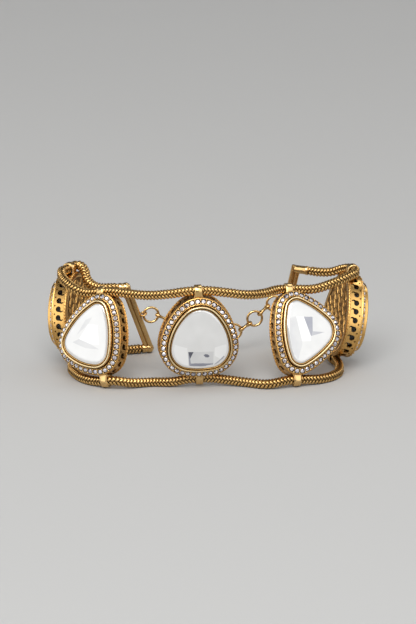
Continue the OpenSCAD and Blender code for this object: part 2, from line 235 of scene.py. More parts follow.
def lofted(name, rings, recesses=None, closed=False):
    """A circle of vertices placed on the first ring and extruded once for each of the others."""
    start_fresh()
    count = len(rings[0])
    recesses = recesses or [0.0] * len(rings)
    bpy.ops.mesh.primitive_circle_add(vertices=count, radius=MM, enter_editmode=True, location=(0, 0, 0))
    piece = bpy.context.object
    piece.name = name
    piece.data.name = name
    mesh = bmesh.from_edit_mesh(piece.data)
    mesh.verts.layers.float.new("recess")
    order = mesh.verts.layers.int.new("order")
    for k, vert in enumerate(mesh.verts):
        vert[order] = k
    bmesh.update_edit_mesh(piece.data)
    set_ring(piece, rings[0], recesses[0])
    for ring, recess in zip(rings[1:], recesses[1:]):
        bpy.ops.mesh.extrude_edges_move()
        set_ring(piece, ring, recess)
    if closed:
        bpy.ops.mesh.extrude_edges_move()
        set_ring(piece, rings[0], recesses[0])
        bpy.ops.mesh.select_all(action="SELECT")
        bpy.ops.mesh.remove_doubles(threshold=1e-6 * MM)
    else:
        bpy.ops.mesh.edge_face_add()
        bpy.ops.mesh.select_all(action="DESELECT")
        mesh = bmesh.from_edit_mesh(piece.data)
        mesh.verts.ensure_lookup_table()
        for vert in mesh.verts[:count]:
            vert.select = True
        mesh.select_flush(True)
        bmesh.update_edit_mesh(piece.data)
        bpy.ops.mesh.edge_face_add()
    bpy.ops.mesh.select_all(action="SELECT")
    bpy.ops.mesh.normals_make_consistent(inside=False)
    bpy.ops.object.mode_set(mode="OBJECT")
    return piece


def joined(name, pieces):
    """Several meshes made one."""
    start_fresh()
    for piece in pieces:
        piece.select_set(True)
    bpy.context.view_layer.objects.active = pieces[0]
    if len(pieces) > 1:
        bpy.ops.object.join()
    pieces[0].name = name
    pieces[0].data.name = name
    return pieces[0]


def copied(name, pattern, places):
    """Copies of one small shape, one at each place, joined into one mesh. The pattern itself goes."""
    mesh = bmesh.new()
    for place in places:
        before = len(mesh.verts)
        mesh.from_mesh(pattern.data)
        mesh.verts.ensure_lookup_table()
        bmesh.ops.transform(mesh, matrix=place, verts=mesh.verts[before:])
    data = bpy.data.meshes.new(name)
    mesh.to_mesh(data)
    mesh.free()
    bpy.data.objects.remove(pattern)
    piece = bpy.data.objects.new(name, data)
    bpy.context.scene.collection.objects.link(piece)
    return piece


def smooth(piece, angle):
    only(piece)
    bpy.ops.object.shade_smooth_by_angle(angle=math.radians(angle))


def apply_modifier(piece, kind, **settings):
    only(piece)
    modifier = piece.modifiers.new(kind.title(), kind)
    for key, value in settings.items():
        setattr(modifier, key, value)
    bpy.ops.object.modifier_apply(modifier=modifier.name)


def dress(piece, material, slot, *nodes):
    """Gives a finished piece its finish and its body, and hides the nodes that it stands for."""
    piece.data.materials.clear()
    piece.data.materials.append(material)
    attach(piece, "root")
    if nodes:
        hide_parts(*nodes)


def frame_from(z_axis, x_axis, at):
    """A place whose Z and X point as asked, for a small shape."""
    z = z_axis.normalized()
    y = z.cross(x_axis).normalized()
    x = y.cross(z)
    return Matrix.Translation(at) @ Matrix((x, y, z)).transposed().to_4x4()


def swept(setting, name, section, steps, closed=False):
    """A cross-section of offsets, heights and shades carried round a setting's outline."""
    rings = [setting.ring(steps, offset, w) for offset, w, shade in section]
    return lofted(name, rings, [shade for offset, w, shade in section], closed)


def circle(middle, side, top, radius, sides):
    """Points round a circle that is given in millimetres."""
    points = []
    for k in range(sides):
        turn = 360 * k / sides
        points.append((middle + radius * (cos(turn) * side + sin(turn) * top)) * MM)
    return points


class FinishValues(bpy.types.PropertyGroup):
    """Colours of the metals, stones and floor."""

    gold: FloatVectorProperty(
        name="Gold", description="Antique gold where it is rubbed clean", subtype="COLOR", size=3,
        default=(0.86, 0.51, 0.165), min=0, max=1)
    chain_gold: FloatVectorProperty(
        name="Chain gold", description="Gold of the woven wire", subtype="COLOR", size=3,
        default=(0.86, 0.54, 0.20), min=0, max=1)
    pale_gold: FloatVectorProperty(
        name="Pale gold", description="Polished gold of the straps and rims", subtype="COLOR", size=3,
        default=(0.92, 0.62, 0.27), min=0, max=1)
    # The patina colour is also the colour of the painted shade in the recesses.
    patina: FloatVectorProperty(
        name="Patina", description="Dark brown left in the recesses", subtype="COLOR", size=3,
        default=(0.062, 0.024, 0.004), min=0, max=1)
    floor: FloatVectorProperty(
        name="Floor", description="Pale studio floor", subtype="COLOR", size=3,
        default=(0.60, 0.598, 0.588), min=0, max=1)


class WeaveValues(bpy.types.PropertyGroup):
    """Sizes of the woven chains."""

    pitch: FloatProperty(
        name="Pitch", description="Distance from one loop to the next along the chain", subtype="DISTANCE",
        unit="LENGTH", default=0.97 * MM, min=0.6 * MM, max=2 * MM, precision=5)
    wire_radius: FloatProperty(
        name="Wire radius", description="Half the thickness of a flattened loop", subtype="DISTANCE",
        unit="LENGTH", default=0.23 * MM, min=0.1 * MM, max=0.4 * MM, precision=5)
    wire_width: FloatProperty(
        name="Wire width", description="Half the width of a flattened loop along the chain",
        subtype="DISTANCE", unit="LENGTH", default=0.33 * MM, min=0.1 * MM, max=0.5 * MM, precision=5)
    corner: FloatProperty(
        name="Corner", description="How far a loop's wire stands from the centreline at a corner",
        subtype="DISTANCE", unit="LENGTH", default=1.2 * MM, min=0.8 * MM, max=1.3 * MM, precision=5)
    slant: FloatProperty(
        name="Slant", description="How far a loop's legs trail behind its corner", subtype="DISTANCE",
        unit="LENGTH", default=0.7 * MM, min=0.2 * MM, max=1.6 * MM, precision=5)
    core_radius: FloatProperty(
        name="Core radius", description="Radius of the dark inside of the weave", subtype="DISTANCE",
        unit="LENGTH", default=0.62 * MM, min=0.3 * MM, max=0.9 * MM, precision=5)


class SettingValues(bpy.types.PropertyGroup):
    """Sizes of the pierced settings and their trimmings."""

    stations: IntProperty(
        name="Stations", description="Sections round a setting", default=168, min=60, max=240)
    hole_radius: FloatProperty(
        name="Hole radius", description="Radius of the head of a comma-shaped hole", subtype="DISTANCE",
        unit="LENGTH", default=0.82 * MM, min=0.4 * MM, max=0.9 * MM, precision=5)
    prong_radius: FloatProperty(
        name="Prong radius", description="Radius of the beads that hold the brilliants", subtype="DISTANCE",
        unit="LENGTH", default=0.27 * MM, min=0.1 * MM, max=0.35 * MM, precision=5)
    rope_radius: FloatProperty(
        name="Rope radius", description="Radius of the twisted border at the back edge", subtype="DISTANCE",
        unit="LENGTH", default=0.24 * MM, min=0.1 * MM, max=0.4 * MM, precision=5)


class StudioValues(bpy.types.PropertyGroup):
    """The camera and the lights."""

    distance: FloatProperty(
        name="Distance", description="From the camera to the point that it looks at", subtype="DISTANCE",
        unit="LENGTH", default=578 * MM, min=0.3, max=1.5, precision=4)
    pitch: FloatProperty(
        name="Pitch", description="How far the camera looks down", subtype="ANGLE",
        default=math.radians(16.9), min=0, max=1.5)
    key_power: FloatProperty(
        name="Key light", description="Strength of the large soft light in watts", default=7.2,
        min=0, max=100)
    room_light: FloatProperty(
        name="Room light", description="Strength of the even light on the floor", default=0.55, min=0, max=5)


def values():
    return bpy.context.scene.kundan_bracelet


# Shader groups and materials

WEAR_GRAIN = 1500.0


def group_socket(group, name, side, kind, default=None):
    socket = group.interface.new_socket(name=name, in_out=side, socket_type=kind)
    if default is not None:
        socket.default_value = default


def plug(tree, socket, value):
    """Sets a socket to a value, or links it to another node's output."""
    if isinstance(value, bpy.types.NodeSocket):
        tree.links.new(value, socket)
    else:
        socket.default_value = value


def node(tree, kind, **settings):
    """A new node with its inputs, by name, and its other settings."""
    made = tree.nodes.new(kind)
    for key, value in settings.items():
        if key in made.inputs:
            plug(tree, made.inputs[key], value)
        else:
            setattr(made, key, value)
    return made


def object_place(tree):
    return node(tree, "ShaderNodeTexCoord").outputs["Object"]


def mix_colour(tree, factor, first, second):
    made = node(tree, "ShaderNodeMix", data_type="RGBA")
    for key, value in ((0, factor), (6, first), (7, second)):
        plug(tree, made.inputs[key], value)
    return made.outputs[2]


def math_node(tree, operation, first, second, clamp=False):
    made = node(tree, "ShaderNodeMath", operation=operation, use_clamp=clamp)
    plug(tree, made.inputs[0], first)
    plug(tree, made.inputs[1], second)
    return made.outputs[0]


def colour_ramp(tree, factor, stops, interpolation="LINEAR"):
    """A colour ramp with a stop for each place and colour, in rising order."""
    made = node(tree, "ShaderNodeValToRGB", Fac=factor)
    ramp = made.color_ramp
    ramp.interpolation = interpolation
    while len(ramp.elements) < len(stops):
        ramp.elements.new(0.5)
    for element, (position, colour) in zip(ramp.elements, stops):
        element.position = position
        element.color = (*colour, 1)
    return made.outputs["Color"]


def new_material(name):
    """A material's node tree, and a function that sets or links inputs of its shader by name."""
    material = bpy.data.materials.new(name)
    material.use_nodes = True
    tree = material.node_tree
    shader = tree.nodes["Principled BSDF"]

    def set_shader(inputs):
        for key, value in inputs.items():
            plug(tree, shader.inputs[key], value)

    return tree, set_shader


def patina_and_painted_light_group():
    """Gold that is rubbed clean on top and brown in its recesses, with fine wear. The brown is patina and
    painted shade; where the recess attribute is below zero the gold is painted paler, a painted highlight.
    """
    warm_gold = (0.58, 0.31, 0.08, 1)
    painted_highlight_gold = (0.99, 0.80, 0.47, 1)
    warm_scale, warm_start, warm_gain = 260.0, 0.42, 0.9
    shade_gain, unevenness, falloff = 1.25, 0.5, 1.35
    patina_roughness, grain_roughness = 0.4, 0.08
    group = bpy.data.node_groups.new("patina_shade_and_highlight", "ShaderNodeTree")
    group_socket(group, "Gold", "INPUT", "NodeSocketColor", (0.7, 0.45, 0.17, 1))
    group_socket(group, "Patina", "INPUT", "NodeSocketColor", (0.08, 0.04, 0.012, 1))
    group_socket(group, "Grain", "INPUT", "NodeSocketFloat", WEAR_GRAIN)
    group_socket(group, "Reach", "INPUT", "NodeSocketFloat", 0.6 * MM)
    group_socket(group, "Polish", "INPUT", "NodeSocketFloat", 0.22)
    group_socket(group, "Color", "OUTPUT", "NodeSocketColor")
    group_socket(group, "Roughness", "OUTPUT", "NodeSocketFloat")
    group_socket(group, "Height", "OUTPUT", "NodeSocketFloat")
    given = node(group, "NodeGroupInput").outputs
    place = object_place(group)
    recess = node(group, "ShaderNodeAttribute", attribute_name="recess").outputs["Fac"]
    shade = node(group, "ShaderNodeAmbientOcclusion", samples=6, Distance=given["Reach"])
    fine = node(group, "ShaderNodeTexNoise", Vector=place, Scale=given["Grain"], Detail=4.0, Roughness=0.6)
    broad = node(group, "ShaderNodeTexNoise", Vector=place, Scale=warm_scale, Detail=2.0)
    grain = fine.outputs["Fac"]

    # Painted shade: ambient occlusion darkens the gold where little light reaches, on top of the patina that
    # the recess attribute gives.
    hidden = math_node(group, "SUBTRACT", 1.0, shade.outputs["AO"])
    depth = math_node(group, "MAXIMUM", recess, math_node(group, "MULTIPLY", hidden, shade_gain))
    uneven = math_node(group, "MULTIPLY", math_node(group, "SUBTRACT", grain, 0.5), unevenness)
    depth = math_node(group, "ADD", depth, uneven, clamp=True)
    depth = math_node(group, "POWER", depth, falloff, clamp=True)
    tone = math_node(group, "SUBTRACT", broad.outputs["Fac"], warm_start)
    tone = math_node(group, "MULTIPLY", tone, warm_gain, clamp=True)
    colour = mix_colour(group, tone, given["Gold"], warm_gold)
    colour = mix_colour(group, depth, colour, given["Patina"])
    # Painted highlight: where the recess attribute is below zero, the gold is painted paler.
    painted_highlight = math_node(group, "MULTIPLY", recess, -1.0, clamp=True)
    colour = mix_colour(group, painted_highlight, colour, painted_highlight_gold)

    rough = math_node(group, "ADD", given["Polish"], math_node(group, "MULTIPLY", depth, patina_roughness))
    rough = math_node(group, "ADD", rough, math_node(group, "MULTIPLY", grain, grain_roughness))
    node(group, "NodeGroupOutput", Color=colour, Roughness=rough, Height=grain)


def gold_material(name, colour, polish, reach, bump):
    """A gold finish: the shared group of patina, painted shade, painted highlight and wear, with its own
    colour, polish and depth of patina and painted shade.
    """
    tree, set_shader = new_material(name)
    wear = node(tree, "ShaderNodeGroup", node_tree=bpy.data.node_groups["patina_shade_and_highlight"])
    own = {"Gold": (*colour, 1), "Patina": (*values().finish.patina, 1), "Grain": WEAR_GRAIN,
           "Reach": reach, "Polish": polish}
    for key, value in own.items():
        wear.inputs[key].default_value = value
    raised = node(tree, "ShaderNodeBump", Height=wear.outputs["Height"], Strength=bump, Distance=0.03 * MM)
    set_shader({"Base Color": wear.outputs["Color"], "Roughness": wear.outputs["Roughness"],
                "Normal": raised.outputs["Normal"], "Metallic": 1.0})


def polki_material():
    """Glass with silver foil behind it: mirror-bright facets of a few pale greys, which are painted
    reflections on a flat table.
    """
    mottle_scale, mottle_strength, mottle_roughness = 210.0, 0.16, 0.22
    greys = (
        (0.0, (0.05, 0.05, 0.075)), (0.5, (0.36, 0.37, 0.43)), (0.8, (0.80, 0.80, 0.79)),
        (1.0, (0.97, 0.97, 0.965)),
    )
    tree, set_shader = new_material("foiled_glass")
    facet = node(tree, "ShaderNodeAttribute", attribute_name="facet").outputs["Fac"]
    cloud = node(tree, "ShaderNodeTexNoise", Vector=object_place(tree), Scale=mottle_scale, Detail=2.0)
    mottled = math_node(tree, "SUBTRACT", cloud.outputs["Fac"], 0.5)
    mottled = math_node(tree, "MULTIPLY", mottled, mottle_strength)
    tone = math_node(tree, "ADD", facet, mottled, clamp=True)
    rough = math_node(tree, "MULTIPLY", cloud.outputs["Fac"], mottle_roughness)
    set_shader({"Base Color": colour_ramp(tree, tone, greys), "Roughness": rough, "Metallic": 0.25,
                "Coat Weight": 0.4, "Coat Roughness": 0.02})


def brilliant_material():
    """Small cut stones: painted white and lilac flashes with dark facets, painted reflections from cells
    finer than a stone.
    """
    flashes = (
        (0.0, (0.10, 0.085, 0.11)), (0.16, (0.52, 0.50, 0.60)), (0.36, (0.80, 0.78, 0.86)),
        (0.56, (0.98, 0.97, 1.0)),
    )
    tree, set_shader = new_material("cut_brilliants")
    cells = node(tree, "ShaderNodeTexVoronoi", Vector=object_place(tree), Scale=2600.0)
    split = node(tree, "ShaderNodeSeparateColor", Color=cells.outputs["Color"])
    colour = colour_ramp(tree, split.outputs["Red"], flashes, "CONSTANT")
    rough = math_node(tree, "MULTIPLY", split.outputs["Green"], 0.12)
    set_shader({"Base Color": colour, "Roughness": rough, "Metallic": 0.35, "Coat Weight": 1.0,
                "Coat Roughness": 0.02})


def floor_material():
    """Matt paper, painted darker behind the bracelet as painted shade where the light falls off, and painted
    dimmer in what shines, as painted shade in its reflections.
    """
    falloff_start, falloff_gain, falloff_power = 0.1, 1.6, 0.5
    grain_lift, far_shade, mirrored_dimming = 1.02, 0.79, 0.35
    mirrored_colour = (0.1, 0.09, 0.08, 1)
    colour = values().finish.floor
    tree, set_shader = new_material("pale_floor")
    place = object_place(tree)
    grain = node(tree, "ShaderNodeTexNoise", Vector=place, Scale=9.0, Detail=3.0)
    # Painted shade: the floor darkens with its distance behind the bracelet.
    split = node(tree, "ShaderNodeSeparateXYZ", Vector=place)
    depth = math_node(tree, "ADD", split.outputs["Y"], falloff_start)
    depth = math_node(tree, "MULTIPLY", depth, falloff_gain, clamp=True)
    depth = math_node(tree, "POWER", depth, falloff_power, clamp=True)
    lighter = [min(1.0, grain_lift * c) for c in colour]
    near = mix_colour(tree, grain.outputs["Fac"], (*colour, 1), (*lighter, 1))
    shaded = mix_colour(tree, depth, near, (*[far_shade * c for c in colour], 1))
    # Painted shade in reflections: glossy rays see a darker floor.
    path = node(tree, "ShaderNodeLightPath")
    dimmed = math_node(tree, "MULTIPLY", path.outputs["Is Glossy Ray"], mirrored_dimming)
    set_shader({"Base Color": mix_colour(tree, dimmed, shaded, mirrored_colour), "Roughness": 0.8})


def make_materials():
    finish = values().finish
    patina_and_painted_light_group()
    gold_material("pierced_gold", finish.gold, polish=0.22, reach=0.7 * MM, bump=0.25)
    gold_material("woven_gold", finish.chain_gold, polish=0.20, reach=0.6 * MM, bump=0.1)
    gold_material("rim_gold", finish.pale_gold, polish=0.15, reach=0.5 * MM, bump=0.1)
    gold_material("strap_gold", finish.pale_gold, polish=0.2, reach=0.6 * MM, bump=0.15)
    polki_material()
    brilliant_material()
    floor_material()


# Woven chains

# One leg of a loop, up to its corner: how far round it is from the corner, and how far out
LOOP_LEG = ((-1.12, 0.45), (-1.0, 0.70), (-0.72, 0.84), (-0.36, 0.985))
LOOP_SPREAD = 39
LEG_BEND = 1.15
WIRE_SIDES = 6
CORE_SIDES = 8
CORE_STEP = 1.2 * MM
# Within this radius the weave is painted fully dark, patina and painted shade.
DARK_RADIUS = 0.99 * MM
ROUTE_RESOLUTION = 16


def hairpin(name, corner_angle, start, lay, weave):
    """One loop of the weave: a wire that comes out of the core at the middle of one face of the chain,
    goes over a corner and dips back at the middle of the next face."""
    path = [*LOOP_LEG, (0.0, 1.0), *((-share, dip) for share, dip in reversed(LOOP_LEG))]
    centres = []
    for share, dip in path:
        angle = corner_angle + LOOP_SPREAD * share
        radius = dip * weave.corner
        trail = weave.slant * abs(share) ** LEG_BEND
        centres.append(Vector((start - lay * trail, radius * cos(angle), radius * sin(angle))))
    rings = []
    for k, centre in enumerate(centres):
        ahead = centres[min(k + 1, len(centres) - 1)] - centres[max(k - 1, 0)]
        side = ahead.cross(Vector((0, centre.y, centre.z))).normalized()
        top = side.cross(ahead).normalized()
        ring = []
        for j in range(WIRE_SIDES):
            turn = 360 * j / WIRE_SIDES
            ring.append(centre + weave.wire_width * cos(turn) * side + weave.wire_radius * sin(turn) * top)
        rings.append(ring)
    return lofted(name, rings)


def shade_by_radius(piece, clean, dark):
    """Marks how deep each vertex lies in the weave, by its distance from the centreline: patina and painted
    shade, darkest in the gaps between the loops.
    """
    layer = piece.data.attributes["recess"]
    for k, vert in enumerate(piece.data.vertices):
        radius = math.hypot(vert.co.y, vert.co.z)
        layer.data[k].value = max(0.0, min(1.0, (clean - radius) / (clean - dark)))


def route_curve(name, route):
    curve = bpy.data.curves.new(name, "CURVE")
    curve.dimensions = "3D"
    curve.twist_mode = "Z_UP"
    spline = curve.splines.new("BEZIER")
    spline.bezier_points.add(len(route) - 1)
    spline.resolution_u = ROUTE_RESOLUTION
    for knot, point in zip(spline.bezier_points, route):
        knot.co = in_row_frame(point)
        knot.handle_left_type = "AUTO"
        knot.handle_right_type = "AUTO"
    guide = bpy.data.objects.new(name, curve)
    bpy.context.scene.collection.objects.link(guide)
    bpy.context.view_layer.update()
    return guide, spline


def woven_half(name, start, end, lay, weave):
    """The loops from one place along the chain to another, laid toward the end or back from it."""
    length = abs(end - start)
    count = round(length / weave.pitch)
    step = (end - start) / count
    loops = []
    for k in range(4):
        corner = 45 + 90 * k
        shift = (0.5 * (k % 2) + 0.5) * step
        loops.append(hairpin(f"{name}_loop_{k}", corner, start + shift, lay, weave))
    piece = joined(name, loops)
    apply_modifier(
        piece, "ARRAY", count=count, use_relative_offset=False, use_constant_offset=True,
        constant_offset_displace=(step, 0, 0))
    return piece


def weave_chain(name, route):
    """A foxtail chain: loops over the four corners of a square, staggered from corner to corner."""
    weave = values().weave
    guide, spline = route_curve(name + "_guide", route)
    length = spline.calc_length()
    runs = [(in_row_frame(b) - in_row_frame(a)).length for a, b in zip(route, route[1:])]
    before = WEAVE_TURN[name]
    turn = length * (sum(runs[:before]) + 0.5 * runs[before]) / sum(runs)
    left = woven_half(name + "_left", 0.0, turn, 1, weave)
    right = woven_half(name + "_right", length, turn, -1, weave)
    # The core lies within the dark radius, so it is all dark: a dark tube that stands for the shade between
    # the loops, painted shade.
    core_steps = round(length / CORE_STEP)
    core_radius = weave.core_radius / MM
    rings = []
    for k in range(core_steps + 1):
        middle = Vector((length * k / core_steps / MM, 0, 0))
        rings.append(circle(middle, Vector((0, 1, 0)), Vector((0, 0, 1)), core_radius, CORE_SIDES))
    core = lofted(name + "_core", rings)
    piece = joined(name + "_weave", [left, right, core])
    shade_by_radius(piece, CLEAR_OF_PATINA_AND_SHADE[name] * MM, DARK_RADIUS)
    apply_modifier(piece, "CURVE", object=guide, deform_axis="POS_X")
    bpy.data.objects.remove(guide)
    smooth(piece, angle=60)
    dress(piece, bpy.data.materials["woven_gold"], "chain_gold", name)


class KUNDAN_OT_woven_chains(bpy.types.Operator):
    """Weaves the upper and lower foxtail chains along their routes"""

    bl_idname = "kundan.woven_chains"
    bl_label = "Woven chains"

    def execute(self, context):
        weave_chain("upper_chain", UPPER_ROUTE)
        weave_chain("lower_chain", LOWER_ROUTE)
        return {"FINISHED"}


# Settings

BEZEL_ROLL = 0.27
HOLE_PITCH = 2.5
HOLE_MIDDLE = -2.15
DOT_RADIUS = 0.27
DOT_MIDDLE = -0.95
DOT_SHIFT = 0.08
STRAP_CLEARANCE = 2.1
CUT_DEPTH_OUT = 0.25
HOLLOW_R = 1.5
HOLLOW_HALF = 4.5
LEAF_LENGTH = 2.9
LEAF_WIDTH = 1.25
LEAF_LEAN = 38
LEAF_STEP = 2.0
LEAF_ROW = 2.15
# Half width along a leaf, and the section across it: share of the half width, and depth
LEAF_OUTLINE = ((0.0, 0.03), (0.2, 0.3), (0.45, 0.46), (0.7, 0.36), (1.0, 0.03))
LEAF_SECTION = ((-1.0, 0.16), (-0.72, 0.04), (-0.1, 0.06), (0.0, 0.0), (0.1, 0.06), (0.72, 0.04), (1.0, 0.16))
ROPE_TURNS = 1.1
ROPE_SIDES = 9
ROPE_STRANDS = 3
ROPE_LOBE = 0.22
STONE_PITCH = 1.6


def setting_section():
    """Cross-section of a setting's metal: offset from the wall, height, and how deep in shade it lies,
    painted as patina and painted shade.
    A shade below zero is a painted highlight: paler gold along the bezel's roll."""
    back = -GALLERY_DEPTH
    section = [
        (-0.1, back, 0.4), (0.0, back + 0.1, 0.3), (0.0, -3.9, 0.3), (0.0, -3.8, 0.0),
        (0.0, -2.2, 0.0), (0.0, -0.42, 0.0), (0.0, -0.34, 0.45), (0.06, -0.28, 0.1),
        (0.1, -0.16, 0.0), (0.1, -0.02, 0.0), (0.04, 0.12, 0.0),
    ]
    for along, up, shade in ((0.1, 0.03, 0.0), (0.2, 0.0, 0.25), (0.24, -0.3, 0.8), (0.34, -0.46, 1.0),
                             (0.9, -0.48, 1.0), (1.5, -0.46, 1.0), (1.63, -0.3, 0.8), (1.68, 0.0, 0.25),
                             (1.78, 0.03, 0.0), (1.9, 0.0, 0.1)):
        section.append((*on_halo(along, up), shade))
    section += [
        (-1.73, 0.95, 0.6), (-1.75, 0.74, 1.0), (-1.9, 0.72, 1.0), (BEZEL_OUT, 0.9, 0.8),
        (BEZEL_OUT - 0.02, 1.3, 0.35), (BEZEL_OUT - 0.02, 1.7, 0.1),
    ]
    # The bezel's roll, where shades below zero paint a highlight.
    for t, shade in ((0, 0.0), (25, -0.4), (50, -1.0), (75, -1.0), (100, -1.0), (125, -0.2)):
        offset = BEZEL_OUT - BEZEL_ROLL + BEZEL_ROLL * cos(t)
        section.append((offset, BEZEL_RISE - BEZEL_ROLL + BEZEL_ROLL * sin(t), shade))
    section += [
        (-2.43, 2.1, 0.3), (-2.46, 1.95, 0.9), (-2.53, 1.88, 1.0), (-2.63, 1.9, 1.0),
        (-2.67, 2.0, 0.4), (-2.72, 2.05, 0.0), (-2.79, 2.04, 0.0), (BEZEL_IN, 1.93, 0.3),
        (BEZEL_IN, 1.75, 0.9), (BEZEL_IN, 0.6, 1.0), (-3.45, 0.5, 1.0), (-3.45, 0.1, 1.0),
        (-WALL_T, -0.75, 1.0), (-WALL_T, -2.4, 1.0), (-WALL_T, back + 0.25, 1.0), (-WALL_T, back, 0.6),
    ]
    return section


def comma_outline():
    """A comma-shaped hole: a round head toward the halo and a tail that curls to the back edge."""
    radius = values().setting.hole_radius / MM
    head = [(radius * cos(t), radius * sin(t)) for t in range(-50, 200, 20)]
    tail = [(-0.84, -0.42), (-0.97, -0.78), (-0.92, -1.12), (-0.7, -1.42), (-0.46, -1.52),
            (-0.4, -1.34), (-0.56, -1.12), (-0.54, -0.86), (-0.3, -0.72), (0.1, -0.72)]
    return head + tail


def wall_cutter(setting, name, outline, t, w, inner):
    """A prism through the wall, with its outline drawn in the plane that touches the wall there."""
    rings = []
    for offset in (inner, CUT_DEPTH_OUT):
        ring = []
        for x, y in outline:
            p = setting.flat(setting.outline.point(t, 0.0) + offset * heading(t) - x * tangent(t))
            ring.append(setting.place(p.x, p.y, w + y))
        rings.append(ring)
    # The cutter's full shade passes to the walls of each hole: patina and painted shade inside the hole.
    return lofted(name, rings, [1.0, 1.0])


def clear_of_straps(setting, t, clearance):
    return abs(setting.flat(setting.outline.point(t, -WALL_T)).x) > clearance


def cut_away(body, cutter):
    apply_modifier(body, "BOOLEAN", object=cutter, operation="DIFFERENCE", solver="EXACT")
    bpy.data.objects.remove(cutter)


def pierce_wall(setting, body):
    """Cuts the row of comma-shaped holes through the wall and the small pricked dots between them."""
    outline = setting.outline
    count = round(outline.girth(0) / HOLE_PITCH)
    comma = comma_outline()
    dot = [(DOT_RADIUS * cos(t), DOT_RADIUS * sin(t)) for t in range(0, 360, 45)]
    cutters = []
    for k in range(count):
        t = outline.angle_at((k + 0.5) / count)
        if clear_of_straps(setting, t, STRAP_CLEARANCE):
            cutters.append(wall_cutter(setting, "comma", comma, t, HOLE_MIDDLE, -WALL_T - 0.15))
        t = outline.angle_at((k + DOT_SHIFT) / count)
        if clear_of_straps(setting, t, STRAP_CLEARANCE - 0.6):
            cutters.append(wall_cutter(setting, "dot", dot, t, DOT_MIDDLE, -0.3))
    cut_away(body, joined("wall_cutter", cutters))


def hollow_for_chain(setting, body):
    """Takes the upper chain's way out of the wall, where it lies behind the halo."""
    rings = []
    for u in (-HOLLOW_HALF, HOLLOW_HALF):
        ring = []
        for t in range(0, 360, 15):
            up = setting.reach / 2 + HOLLOW_R * sin(t)
            ring.append(setting.place(u, up, CHAIN_DEPTH + HOLLOW_R * cos(t)))
        rings.append(ring)
    # The hollow's walls take full shade: patina and painted shade.
    cut_away(body, lofted("chain_hollow", rings, [1.0, 1.0]))


def back_plate(setting):
    """The plate that closes the back, with a raised rim round a sunk field of leaves."""
    back = -GALLERY_DEPTH
    # Shades above zero on the plate's rim are patina and painted shade.
    section = [
        (-0.45, -4.0, 1.0), (-0.45, -4.44, 0.3), (-0.55, back, 0.0), (-1.25, back, 0.0),
        (-1.35, back + 0.06, 0.4), (-1.38, back + 0.16, 0.9), (-1.9, back + 0.17, 0.8),
    ]
    return swept(setting, setting.name + "_back", section, steps=96)


def leaf_shape():
    """One engraved leaf with a rib, lying in the XY plane with its top at Z 0."""
    rings = []
    for share, width in LEAF_OUTLINE:
        x = (share - 0.5) * LEAF_LENGTH
        y = width * LEAF_WIDTH
        rings.append([Vector((x, side * y, depth)) * MM for side, depth in LEAF_SECTION])
    return lofted("leaf", rings)


def leaf_field(setting):
    """Leaves in rows over the back plate, leaning left and right in turn."""
    outline = setting.outline
    apex = max(outline.point(t, -2.1).length for t in range(0, 360, 10))
    rows = math.ceil(apex * 2 / LEAF_ROW)
    places = []
    for row in range(-rows, rows + 1):
        for column in range(-rows, rows + 1):
            x = column * LEAF_STEP + (row % 2) * LEAF_STEP / 2
            p = Vector((x, row * LEAF_ROW + setting.middle))
            if not inside(outline, p, -2.3):
                continue
            lean = LEAF_LEAN if (column + row) % 2 else -LEAF_LEAN
            flat = setting.flat(p)
            place = setting.place(flat.x, flat.y, -GALLERY_DEPTH + 0.02)
            along = setting.across * cos(lean + 90) + setting.up * sin(lean + 90)
            places.append(frame_from(setting.out, along, place))
    return copied(setting.name + "_leaves", leaf_shape(), places)


def inside(outline, point, offset):
    """Whether a point of the outline's plane lies inside the outline when it is offset."""
    for t in range(0, 360, 6):
        edge = outline.point(t, offset)
        if (point - edge).dot(heading(t)) > 0:
            return False
    return True


def build_setting(name):
    setting = Setting(name)
    stations = values().setting.stations
    body = swept(setting, name + "_body", setting_section(), stations, closed=True)
    pierce_wall(setting, body)
    if SETTINGS[name][0] != "egg":
        hollow_for_chain(setting, body)
    piece = joined(f"pierced_setting_{name}", [body, back_plate(setting), leaf_field(setting)])
    smooth(piece, angle=32)
    dress(piece, bpy.data.materials["pierced_gold"], "antique_gold", "setting_" + name)


def rope_border(setting, name, offset, w, radius):
    """A twisted wire border round the wall: a three-lobed section that turns as it goes."""
    outline = setting.outline
    turns = round(outline.girth(offset) * ROPE_TURNS)
    count = round(outline.girth(offset) * ROPE_TURNS * 6)
    rings = [[] for j in range(ROPE_SIDES)]
    for k in range(count):
        share = k / count
        t = outline.angle_at(share)
        for j, ring in enumerate(rings):
            angle = 360 * j / ROPE_SIDES
            lobe = radius * (1 + ROPE_LOBE * cos(ROPE_STRANDS * angle - 360 * turns * share))
            ring.append(setting.at(t, offset + lobe * cos(angle), w + lobe * sin(angle)))
    return lofted(name, rings, closed=True)


def bead(radius):
    start_fresh()
    bpy.ops.mesh.primitive_ico_sphere_add(subdivisions=2, radius=radius, location=(0, 0, 0))
    return bpy.context.object


